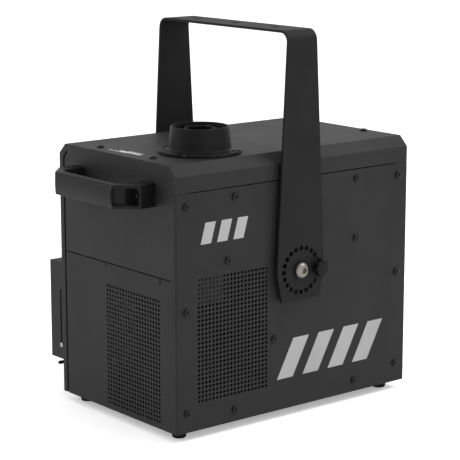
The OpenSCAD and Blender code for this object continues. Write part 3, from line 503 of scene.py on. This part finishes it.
dressed = sum((
    dress(powder, "chassis_base", "inner_frame", "side_front_shell"),
    # The relay box takes the darkened zinc, a painted shade.
    dress(zinc_in_painted_shade, "relay_box"),
    dress(zinc, "pivot_plates", "heater_rails", "fog_duct", "heater_cover", "power_supply",
          "foot_screws", "right_lock_stud", "left_lock_stud", "pump_plunger", "sight_pin"),
    dress(nylon, "pivot_bushes", "pivot_washers", "filler_neck", "filler_cap", "drain_tap",
          "fan_housing", "fan_impeller", "pump_body", "display_module", "menu_buttons_frame",
          "power_switch", "power_inlet", "signal_sockets", "fuse_holder"),
    dress(tank_skin, "fluid_tank", "suction_hose"),
    dress(brass, "drain_valve", "nozzle_pipe", "feed_pipe"),
    dress(print_ink, "side_badge", "side_stripes"),
    dress(label_ink, "top_label"),
    dress(aluminium, "heater_block"),
    dress(phenolic, "thermostat"),
    dress(board, "control_board"),
    dress(button_skin, *(f"menu_button_{number}" for number in range(1, 5))),
    dress(rocker_red, "switch_rocker"),
))
print("dressed", dressed, "nodes")

# %% [markdown]
# ## Folded sheet parts
# The casing is a base tray, a bent sheet that is the right side and lower front, a left
# panel and a cover. Each is cut and folded from steel, so its outer folds have a small
# radius and its cut edges are crisp under the powder coat. The bent sheet keeps the frame's
# mesh: its one fold is already round, and it carries more than a thousand grille holes.

# %% Casing panels
for node in ("left_side_panel", "top_cover", "rear_panel", "tank_box"):
    # The top cover takes the copy with the painted sparkle.
    finish = cover_painted_sparkle if node == "top_cover" else powder
    rounded_copy(node, finish, "casing")
# The yoke takes the darker copy of the powder coat, a painted shade.
yoke_bm = welded("yoke")
soften(yoke_bm, 0.7 * MM)
finish_piece("yoke_bar", yoke_bm, yoke_shaded_powder, "yoke", ("yoke",))


# %% [markdown]
# Behind the rows of grille holes sits a near-black sheet, painted shade that stands for the
# dark inside of the casing. It sits far enough in to leave the relay box in front of it.

# %% Painted shade sheets behind the grilles
def shade_sheet(name, low, high):
    size = Vector(high) - Vector(low)
    at = (Vector(high) + Vector(low)) / 2
    finish_piece(name, block(size, at), shade_backing, "casing")


fan_low, fan_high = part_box("fan_housing")
shade_sheet_gap = 1 * MM
shade_sheet_thick = 2 * MM
side_x = fan_high.x + shade_sheet_gap
end_y = fan_low.y - shade_sheet_gap
shade_sheet("side_shade_sheet", (side_x, front_y + 28 * MM, base_z + 26 * MM),
      (side_x + shade_sheet_thick, front_y + 162 * MM, base_z + 210 * MM))
shade_sheet("front_shade_sheet", (fan_low.x - 36 * MM, end_y - shade_sheet_thick, base_z + 4 * MM),
      (fan_high.x, end_y, base_z + 190 * MM))

# %% [markdown]
# ## Handles
# A handle is one nylon moulding bent like a flat U. Its grip is crowned, its corners are
# cut off at about 45 degrees, and each cut-off face opens into a rounded pocket: a shallow
# plate, and beside it a deep well that holds the fixing screw.
#
# The plan is drawn once and extruded, then crossed with a long cylinder to crown it. The
# edges are bevelled before the pockets are cut, so that the bevel never meets a curved cut.

# %% Outline with round corners
def rounded_outline(width, height, radius, steps=5):
    points = []
    for turn, (sx, sy) in enumerate(((1, 1), (-1, 1), (-1, -1), (1, -1))):
        for step in range(steps + 1):
            angle = math.radians(90 * turn + 90 * step / steps)
            points.append((sx * (width / 2 - radius) + radius * math.cos(angle),
                           sy * (height / 2 - radius) + radius * math.sin(angle)))
    return points


# %% [markdown]
# The handle's plan is symmetric, so only its right half is written down. The slanting face
# has its own directions, along it and into it, and the pocket tools are placed in those.

# %% Handle moulding
handle_low, handle_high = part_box("front_handle")
handle_tall = handle_high.z - handle_low.z
handle_deep = front_y - handle_low.y
crown_radius = 55 * MM
face_start = (63 * MM, -handle_deep)
face_end = (91.5 * MM, -25.5 * MM)
face_turn = math.degrees(math.atan2(face_end[1] - face_start[1], face_end[0] - face_start[0]))
window_tall = handle_tall - 7.4 * MM


def on_face(along, inward):
    c, s = math.cos(math.radians(face_turn)), math.sin(math.radians(face_turn))
    return (face_start[0] + c * along - s * inward, face_start[1] + s * along + c * inward)


def pocket_tool(along_low, along_high, depth, radius, shorter=0.0):
    width = along_high - along_low
    tool = prism(rounded_outline(width, window_tall - shorter, radius), -depth, 6 * MM)
    place(tool, turn=(90, 0, 0))
    place(tool, turn=(0, 0, face_turn))
    face_x, face_y = on_face((along_low + along_high) / 2, 0)
    return place(tool, at=(face_x, face_y, handle_tall / 2))


def mirrored_x(bm):
    return place(bm, scale=(-1, 1, 1))


def handle_form():
    outer = [(88 * MM, 0), face_end, face_start]
    inner = [(58 * MM, -40.5 * MM), (68 * MM, -31 * MM), (68 * MM, 0)]
    plan = (outer + [(-x, y) for x, y in reversed(outer)]
            + [(-x, y) for x, y in reversed(inner)] + inner)
    bm = prism(plan, 0, handle_tall)
    crown = rod(crown_radius, 200 * MM, 160)
    place(crown, turn=(0, 90, 0))
    place(crown, at=(0, crown_radius - handle_deep, handle_tall / 2))
    bm = cut(bm, crown, "INTERSECT")
    soften(bm, 1.5 * MM, 3, over=25)
    for mirror in (False, True):
        plate = pocket_tool(1.8 * MM, 37.4 * MM, 4.5 * MM, 4 * MM)
        well = prism(rounded_outline(15 * MM, window_tall - 1.2 * MM, 3 * MM), 0, 26 * MM)
        place(well, turn=(90, 0, 0))
        place(well, at=(80 * MM, -22 * MM, handle_tall / 2))
        throat = pocket_tool(26.4 * MM, 37.1 * MM, 10 * MM, 3 * MM, 0.6 * MM)
        for tool in (plate, throat, well):
            bm = cut(bm, mirrored_x(tool) if mirror else tool)
    return soften(bm, 0.5 * MM, over=50)


handle_bm = handle_form()
for end, turn in (("front", 0), ("rear", 180)):
    low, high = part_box(end + "_handle")
    face_y = high.y if end == "front" else low.y
    form = place(handle_bm.copy(), at=(middle_x, face_y, low.z), turn=(0, 0, turn))
    finish_piece(end + "_handle_moulding", form, handle_nylon, "casing",
                 (end + "_handle",))
handle_bm.free()


# %% [markdown]
# ## Screws
# The frame holds each set of screws as one node. Its loose solids are found by walking the
# mesh, and each one's box says where a finely modelled head belongs.

# %% Find the loose solids of a node
def solid_boxes(node):
    bm = welded(node)
    left, found = set(bm.verts), []
    while left:
        queue, members = [left.pop()], []
        while queue:
            vert = queue.pop()
            members.append(vert.co.copy())
            for edge in vert.link_edges:
                other = edge.other_vert(vert)
                if other in left:
                    left.remove(other)
                    queue.append(other)
        found.append((Vector(min(c[i] for c in members) for i in range(3)),
                      Vector(max(c[i] for c in members) for i in range(3))))
    bm.free()
    return sorted(found, key=lambda pair: tuple(pair[0]))


# %% [markdown]
# A pan-head screw is turned from a half profile and the cross recess is cut into it. One
# mesh is built for each head size, and a turned copy of it is joined in at every place.

# %% Screw heads
def pan_head(width, height):
    radius = width / 2
    profile = [(0, -2 * MM), (radius * 0.45, -2 * MM), (radius * 0.45, 0.02 * MM),
               (radius * 0.97, 0.02 * MM), (radius, 0.25 * MM), (radius * 0.985, height * 0.36),
               (radius * 0.90, height * 0.66), (radius * 0.72, height * 0.88),
               (radius * 0.45, height * 0.985), (0, height)]
    bm = turning(profile, 40)
    slot_size = (width * 0.56, width * 0.13, height)
    for turn in (0, 90):
        slot = block(slot_size, (0, 0, height * 0.98), 0.15 * MM, 1)
        bm = cut(bm, place(slot, turn=(0, 0, turn)))
    return bm


facings = {"+X": (0, 90, 0), "-X": (0, -90, 0), "+Y": (-90, 0, 0), "-Y": (90, 0, 0),
           "+Z": (0, 0, 0), "-Z": (180, 0, 0)}


def facing_of(low, high):
    middle = (low + high) / 2
    if high.z > top_z:
        return "+Z"
    if middle.x > right_x - 8 * MM and abs(middle.y) < rear_y:
        return "+X"
    if middle.x < left_x + 8 * MM and abs(middle.y) < rear_y:
        return "-X"
    return "+Y" if middle.y > 0 else "-Y"


def head_set(node, name, width, height):
    whole = bmesh.new()
    head = pan_head(width, height)
    places = solid_boxes(node)
    for low, high in places:
        towards = facing_of(low, high)
        axis, sign = "XYZ".index(towards[1]), 1 if towards[0] == "+" else -1
        at = (low + high) / 2
        at[axis] = (high if sign > 0 else low)[axis] - sign * height
        add(whole, place(head.copy(), at=at, turn=facings[towards]))
    head.free()
    print(name, "at", len(places), "places")
    return finish_piece(name, whole, screw_black, "casing", (node,))


head_set("case_screws", "case_screw_heads", 10.4 * MM, 3.0 * MM)
head_set("handle_screws", "handle_screw_heads", 8.8 * MM, 3.0 * MM)
head_set("outlet_screws", "outlet_screw_heads", 8.2 * MM, 2.6 * MM)

# %% [markdown]
# ## Fog outlet
# The outlet is a tapered nylon spigot on a round flange. A duct is pushed over its taper,
# so its rim is thin and rounded. Four scallops in the flange let the screws sit low.
# Turning a half profile gives the whole form, and four short rods cut the scallops.

# %% Spigot
spigot_low, spigot_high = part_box("outlet_spigot")
outlet_x = (spigot_low.x + spigot_high.x) / 2
outlet_y = (spigot_low.y + spigot_high.y) / 2
rim = (spigot_high.z - top_z) / MM
spigot_profile = [(34.6, -12), (38.6, -12), (38.6, 0), (54.6, 0), (55, 0.5), (55, 3.4),
                  (54.7, 4.1), (54.0, 4.6), (44.6, 5.0), (43.0, 5.3), (42.0, 6.2), (41.5, 7.6),
                  (38.75, rim - 2.2), (38.5, rim - 0.8), (37.9, rim - 0.15), (37.2, rim),
                  (36.5, rim - 0.15), (36.0, rim - 0.8), (35.9, rim - 2), (35.9, rim - 6.1),
                  (34.3, rim - 6.1)]
spigot_bm = turning([(r * MM, z * MM) for r, z in [*spigot_profile, spigot_profile[0]]], 128)
for low, high in solid_boxes("outlet_screws"):
    middle = (low + high) / 2
    scallop = rod(6.8 * MM, 12 * MM, 40)
    place(scallop, at=(middle.x - outlet_x, middle.y - outlet_y, 8.3 * MM))
    spigot_bm = cut(spigot_bm, scallop)
soften(spigot_bm, 0.35 * MM, over=55)
place(spigot_bm, at=(outlet_x, outlet_y, top_z))
finish_piece("spigot_moulding", spigot_bm, nylon, "casing", ("outlet_spigot",))

# %% [markdown]
# A finger guard sits just under the rim: a rim ring pressed into the spigot, a smaller ring
# in the middle and six spokes between them. All are bevelled boxes and turned rings.

# %% Guard inside the spigot
guard_low, guard_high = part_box("outlet_guard")
guard_thick = guard_high.z - guard_low.z
wall_r = (guard_high.x - guard_low.x) / 2


def ring(outer, inner, tall, width=0.5 * MM, steps=96):
    bm = turning([(inner, 0), (outer, 0), (outer, tall), (inner, tall), (inner, 0)], steps)
    return soften(bm, width, over=50)


guard_bm = ring(wall_r, wall_r - 2 * MM, guard_thick)
ring_r = 20.5 * MM
add(guard_bm, ring(ring_r, ring_r - 2.2 * MM, guard_thick))
first_spoke = 58
for turn in range(first_spoke, first_spoke + 360, 60):
    spoke = block((wall_r - ring_r + 0.4 * MM, 2.2 * MM, 2.4 * MM),
                  ((wall_r + ring_r) / 2 - 1 * MM, 0, guard_thick / 2), 0.5 * MM)
    add(guard_bm, place(spoke, turn=(0, 0, turn)))
place(guard_bm, at=(outlet_x, outlet_y, guard_low.z))
finish_piece("guard_moulding", guard_bm, nylon, "casing", ("outlet_guard",))

# %% [markdown]
# A small moulder's mark stands on the flange. It is only a ring and a bar, a tenth of a
# millimetre high, and is there because a bare flange looks too clean.

# %% Moulded mark on the flange
mark_tall = 0.25 * MM
mark_bm = ring(3 * MM, 2.3 * MM, mark_tall, 0.08 * MM, 40)
add(mark_bm, block((3.4 * MM, 0.7 * MM, mark_tall), (0, 0, mark_tall / 2), 0.08 * MM, 1))
place(mark_bm, at=(48.5 * MM, 0, 0), turn=(0, 0, 90))
place(mark_bm, turn=(0, 0, 12))
place(mark_bm, at=(outlet_x, outlet_y, top_z + 4.75 * MM))
finish_piece("flange_mark", mark_bm, nylon, "casing")


# %% [markdown]
# ## Lock knobs
# Each knob is a small fluted cap on a stud. A ring of points with eight shallow lobes is
# repeated at several heights and the rings are bridged, so the flutes fade out under a
# smooth domed cap.

# %% Lobed knob
def lobed_ring(bm, radius, lobe, z, lobes=8, steps=96):
    verts = []
    for step in range(steps):
        angle = 2 * math.pi * step / steps
        dip = (0.5 - 0.5 * math.cos(lobes * angle)) ** 3
        r = radius - lobe * dip
        verts.append(bm.verts.new((r * math.cos(angle), r * math.sin(angle), z)))
    return [bm.edges.new((a, b)) for a, b in zip(verts, verts[1:] + verts[:1])]


def lobed_form(rings):
    bm = bmesh.new()
    loops = [lobed_ring(bm, r * MM, lobe * MM, z * MM) for r, lobe, z in rings]
    for lower, upper in zip(loops, loops[1:]):
        bmesh.ops.bridge_loops(bm, edges=lower + upper)
    bmesh.ops.holes_fill(bm, edges=loops[0] + loops[-1], sides=0)
    bmesh.ops.recalc_face_normals(bm, faces=bm.faces)
    return bm


knob_rings = [(8.3, 0, 0), (8.5, 0, 0.3), (8.5, 0, 2.6), (10.2, 0, 3.0), (11.2, 0.9, 3.5),
              (11.75, 1.5, 4.3), (11.75, 1.6, 8.6), (11.5, 1.3, 9.6), (10.9, 0.7, 10.5),
              (9.8, 0.15, 11.3), (8.2, 0, 11.8), (5.6, 0, 12.0)]
for side, sign in (("right", 1), ("left", -1)):
    low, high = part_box(side + "_lock_knob")
    start = low.x if sign > 0 else high.x
    form = place(lobed_form(knob_rings), at=(start, (low.y + high.y) / 2, (low.z + high.z) / 2),
                 turn=(0, 90 * sign, 0))
    finish_piece(side + "_knob_moulding", form, nylon, side + "_knob",
                 (side + "_lock_knob",))

# %% [markdown]
# ## Pivot bolts
# The yoke turns on a bright button-head bolt on each side, over a thin dark washer. The
# dome is turned, and a six-sided bar cuts the socket for the key.

# %% Button-head bolts
def button_head(radius, height, key):
    profile = [(0, -4 * MM), (5 * MM, -4 * MM), (5 * MM, 0), (radius * 0.985, 0),
               (radius, 0.35 * MM), (radius * 0.985, height * 0.22),
               (radius * 0.93, height * 0.44),
               (radius * 0.83, height * 0.66), (radius * 0.70, height * 0.84),
               (radius * 0.55, height * 0.96), (radius * 0.42, height), (0, height)]
    socket = rod(key / math.sqrt(3), 8 * MM, 6)
    place(socket, at=(0, 0, height + 0.6 * MM))
    return soften(cut(turning(profile, 72), socket), 0.2 * MM, over=45)


bolt_bm = bmesh.new()
washer_low, washer_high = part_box("pivot_washers")
for low, high in solid_boxes("pivot_bolts"):
    sign = 1 if low.x > middle_x else -1
    washer_x = washer_high.x if sign > 0 else washer_low.x
    tip_x = high.x if sign > 0 else low.x
    head = button_head((high.y - low.y) / 2, abs(tip_x - washer_x), 8 * MM)
    add(bolt_bm, place(head, at=(washer_x, (low.y + high.y) / 2, (low.z + high.z) / 2),
                       turn=(0, 90 * sign, 0)))
finish_piece("pivot_bolt_heads", bolt_bm, bright_bolt, "casing",
             ("pivot_bolts",))

# %% [markdown]
# ## Feet
# A rubber foot is a short turned plug with a soft lower edge and a well for its screw.

# %% Rubber feet
feet_bm = bmesh.new()
for low, high in solid_boxes("rubber_feet"):
    tall = high.z - low.z
    wide = (high.x - low.x) / 2
    profile = [(5 * MM, 6 * MM), (5 * MM, 0.4 * MM), (5.4 * MM, 0), (wide - 2.6 * MM, 0),
               (wide - 1.5 * MM, 0.35 * MM), (wide - 0.85 * MM, 1.2 * MM),
               (wide - 0.45 * MM, 2.6 * MM), (wide, tall - 0.3 * MM), (wide - 0.3 * MM, tall),
               (2.6 * MM, tall), (2.6 * MM, 6 * MM), (5 * MM, 6 * MM)]
    add(feet_bm, place(turning(profile, 56),
                       at=((low.x + high.x) / 2, (low.y + high.y) / 2, low.z)))
finish_piece("foot_mouldings", feet_bm, rubber, "casing", ("rubber_feet",))

# %% [markdown]
# ## Display window
# The display's recess at the rear is closed by a thin dark pane. A plain box is enough,
# because only its face shows; its low roughness sets it apart from the bezel.

# %% Display window
display_low, display_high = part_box("display_module")
window_size = Vector((45.2, 0.6, 17.2)) * MM
window_middle = Vector(((display_low.x + display_high.x) / 2, display_high.y - 0.4 * MM,
                        (display_low.z + display_high.z) / 2))
finish_piece("display_window", block(window_size, window_middle), glass, "casing")
print("window", tuple(round(v, 4) for v in window_middle))


# %% [markdown]
# ## Studio
# The floor is one pale sheet, and the light is a bright surround with a large soft lamp
# above and behind the right corner, so that the top is the lightest face and the yoke
# throws a soft shadow forward on the side. The floor glows faintly, which keeps the
# shadow under the machine thin.

# %% Floor, lamps and surround
FLOOR_COLOR = (0.94, 0.94, 0.94, 1)
FLOOR_GLOW = 0.32
WHITE = (1, 1, 1, 1)


def make_floor():
    bm = bmesh.new()
    bmesh.ops.create_grid(bm, x_segments=1, y_segments=1, size=14)
    mesh = bpy.data.meshes.new("floor")
    bm.to_mesh(mesh)
    bm.free()
    material = bpy.data.materials.new("pale_floor")
    material.use_nodes = True
    shader = material.node_tree.nodes["Principled BSDF"]
    shader.inputs["Base Color"].default_value = FLOOR_COLOR
    shader.inputs["Roughness"].default_value = 0.9
    shader.inputs["Emission Color"].default_value = WHITE
    shader.inputs["Emission Strength"].default_value = FLOOR_GLOW
    mesh.materials.append(material)
    floor = bpy.data.objects.new("floor", mesh)
    bpy.context.collection.objects.link(floor)
    return floor


def lamp(name, at, aim, size, power):
    data = bpy.data.lights.new(name, "AREA")
    data.shape = "DISK"
    data.size = size
    data.energy = power
    obj = bpy.data.objects.new(name, data)
    obj.location = at
    obj.rotation_euler = (Vector(aim) - Vector(at)).to_track_quat("-Z", "Y").to_euler()
    bpy.context.collection.objects.link(obj)
    return obj


make_floor()
machine_middle = (middle_x, 0, 0.25)
lamp("key", (1.3, 1.4, 2.6), machine_middle, 1.6, 50)
lamp("front_fill", (-1.8, -2.6, 1.6), machine_middle, 2.2, 17)
lamp("side_fill", (3.0, -0.6, 1.2), machine_middle, 2.0, 10)
world = bpy.data.worlds.new("surround")
world.use_nodes = True
surround = world.node_tree.nodes["Background"]
surround.inputs["Color"].default_value = WHITE
surround.inputs["Strength"].default_value = 1.0
bpy.context.scene.world = world
bpy.context.scene.view_settings.view_transform = "Standard"
print("lamps:", [light.name for light in bpy.data.lights])

# %% [markdown]
# The camera stands about two and a half metres off the front right corner, a little above
# the machine, with a long lens that keeps the upright edges almost parallel.

# %% Camera
camera_turn = math.radians(50.8)
camera_rise = math.radians(11.76)
camera_distance = 2.509
camera_aim = Vector((-0.0321, 0.0283, 0.2253))
camera_data = bpy.data.cameras.new("camera")
camera_data.lens = 137.76
camera_data.sensor_width = 36
camera = bpy.data.objects.new("camera", camera_data)
backwards = Vector((math.sin(camera_turn) * math.cos(camera_rise),
                    -math.cos(camera_turn) * math.cos(camera_rise), math.sin(camera_rise)))
camera.location = camera_aim + backwards * camera_distance
camera.rotation_euler = backwards.to_track_quat("Z", "Y").to_euler()
bpy.context.collection.objects.link(camera)
bpy.context.scene.camera = camera
print("camera at", tuple(round(v, 3) for v in camera.location))

# %% [markdown]
# Last, the scratch scene that held the cuts is removed.

# %% Remove the scratch scene
bpy.data.scenes.remove(workshop)
